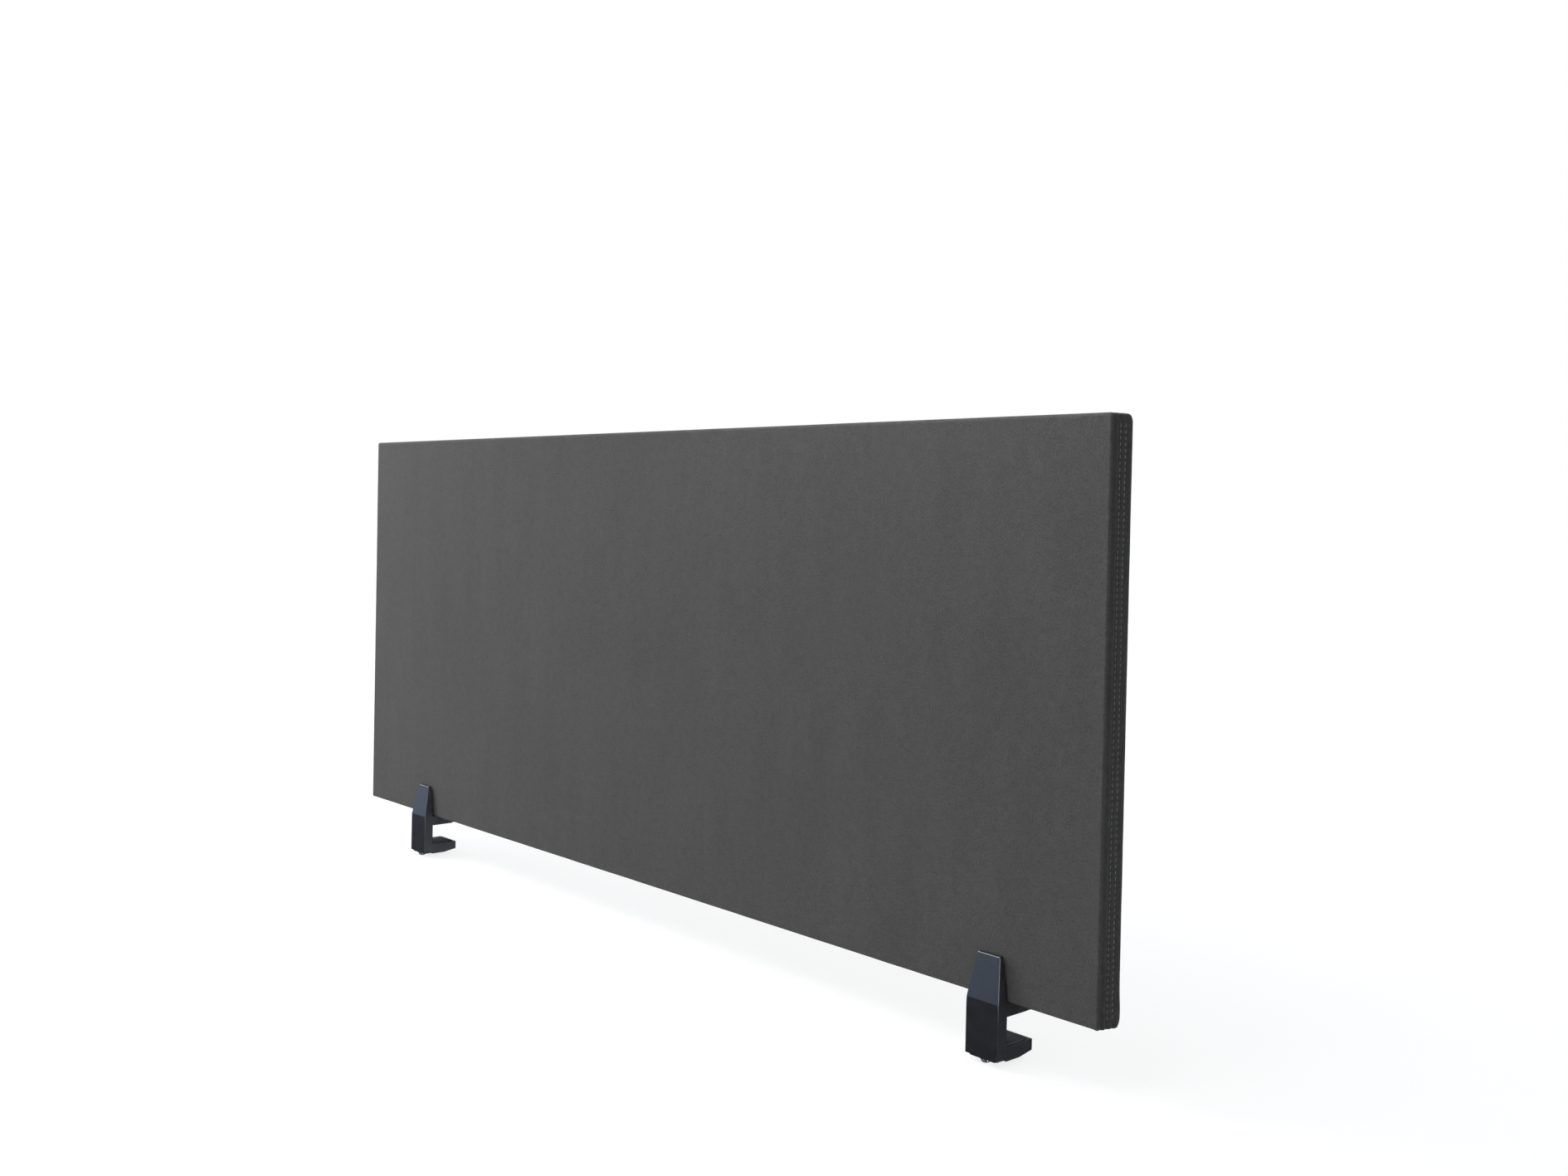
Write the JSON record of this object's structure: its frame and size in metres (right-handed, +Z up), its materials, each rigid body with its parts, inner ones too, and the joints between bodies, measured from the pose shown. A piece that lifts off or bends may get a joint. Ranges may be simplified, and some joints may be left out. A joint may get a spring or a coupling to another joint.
{
  "type": "desk privacy panel",
  "caption": "Fabric-covered desk privacy panel with a sewn cover, held along a desktop's edge by sliding screw clamps.",
  "frame": {"origin": "mid-length of the panel, at the desktop's top front edge where the clamps seat", "axes": "+X along the panel, +Y over the desk, +Z up"},
  "size_m": [1.5, 0.069, 0.664],
  "materials": {
    "charcoal_fabric": "short-nap woven",
    "padding": "open-cell foam",
    "frame_timber": "sawn softwood",
    "fibreboard": "smooth hardboard",
    "honeycomb": "paper honeycomb board",
    "zinc_steel": "bright zinc plated",
    "black_moulding": "satin moulded",
    "brass": "turned",
    "black_rubber": "matt"
  },
  "bodies": {
    "panel": {"fabric_cover": "charcoal_fabric", "cover_closing_strip": "charcoal_fabric", "strip_staples": "zinc_steel", "front_padding": "padding", "rear_padding": "padding", "front_facing_sheet": "fibreboard", "rear_facing_sheet": "fibreboard", "frame_top_rail": "frame_timber", "frame_bottom_rail": "frame_timber", "frame_left_stile": "frame_timber", "frame_middle_stile": "frame_timber", "frame_right_stile": "frame_timber", "left_honeycomb_infill": "honeycomb", "right_honeycomb_infill": "honeycomb", "frame_brads": "zinc_steel"},
    "left_clamp": {"left_clamp_bracket": "black_moulding", "left_clamp_nut": "zinc_steel", "left_thread_insert": "brass", "left_prong_pad": "black_rubber", "left_desk_top_pad": "black_rubber"},
    "left_jaw": {"left_lower_jaw": "black_moulding", "left_jaw_pad": "black_rubber"},
    "left_jaw_screw": {"left_jaw_washer": "zinc_steel", "left_jaw_screw": "zinc_steel"},
    "left_plate": {"left_pressure_plate": "zinc_steel", "left_plate_pad": "black_rubber"},
    "left_grub": {"left_grub_screw": "zinc_steel"},
    "right_clamp": {"right_clamp_bracket": "black_moulding", "right_clamp_nut": "zinc_steel", "right_thread_insert": "brass", "right_prong_pad": "black_rubber", "right_desk_top_pad": "black_rubber"},
    "right_jaw": {"right_lower_jaw": "black_moulding", "right_jaw_pad": "black_rubber"},
    "right_jaw_screw": {"right_jaw_washer": "zinc_steel", "right_jaw_screw": "zinc_steel"},
    "right_plate": {"right_pressure_plate": "zinc_steel", "right_plate_pad": "black_rubber"},
    "right_grub": {"right_grub_screw": "zinc_steel"}
  },
  "joints": [
    {"name": "left_clamp_slide", "type": "slide", "parent": "panel", "child": "left_clamp", "axis": [1, 0, 0], "range_m": [-0.16, 0.5]},
    {"name": "left_jaw_slide", "type": "slide", "parent": "left_clamp", "child": "left_jaw", "axis": [0, 0, 1], "range_m": [-0.012, 0.013]},
    {"name": "left_jaw_screw_turn", "type": "hinge", "parent": "left_jaw", "child": "left_jaw_screw", "pos_m": [-0.56, -0.006, -0.0457], "axis": [0, 0, 1], "range_deg": [-4320, 4680]},
    {"name": "left_plate_slide", "type": "slide", "parent": "left_clamp", "child": "left_plate", "axis": [0, 1, 0], "range_m": [0, 0.003]},
    {"name": "left_grub_screw_turn", "type": "hinge", "parent": "left_plate", "child": "left_grub", "pos_m": [-0.56, 0.0396, 0.032], "axis": [0, 1, 0], "range_deg": [0, 1080]},
    {"name": "right_clamp_slide", "type": "slide", "parent": "panel", "child": "right_clamp", "axis": [1, 0, 0], "range_m": [-0.56, 0.1]},
    {"name": "right_jaw_slide", "type": "slide", "parent": "right_clamp", "child": "right_jaw", "axis": [0, 0, 1], "range_m": [-0.012, 0.013]},
    {"name": "right_jaw_screw_turn", "type": "hinge", "parent": "right_jaw", "child": "right_jaw_screw", "pos_m": [0.6185, -0.006, -0.0457], "axis": [0, 0, 1], "range_deg": [-4320, 4680]},
    {"name": "right_plate_slide", "type": "slide", "parent": "right_clamp", "child": "right_plate", "axis": [0, 1, 0], "range_m": [0, 0.003]},
    {"name": "right_grub_screw_turn", "type": "hinge", "parent": "right_plate", "child": "right_grub", "pos_m": [0.6185, 0.0396, 0.032], "axis": [0, 1, 0], "range_deg": [0, 1080]}
  ],
  "couplings": [
    {"joint": "left_jaw_screw_turn", "follows": "left_jaw_slide", "rad_per_m": 6283.2},
    {"joint": "left_grub_screw_turn", "follows": "left_plate_slide", "rad_per_m": 6283.2},
    {"joint": "right_jaw_screw_turn", "follows": "right_jaw_slide", "rad_per_m": 6283.2},
    {"joint": "right_grub_screw_turn", "follows": "right_plate_slide", "rad_per_m": 6283.2}
  ]
}
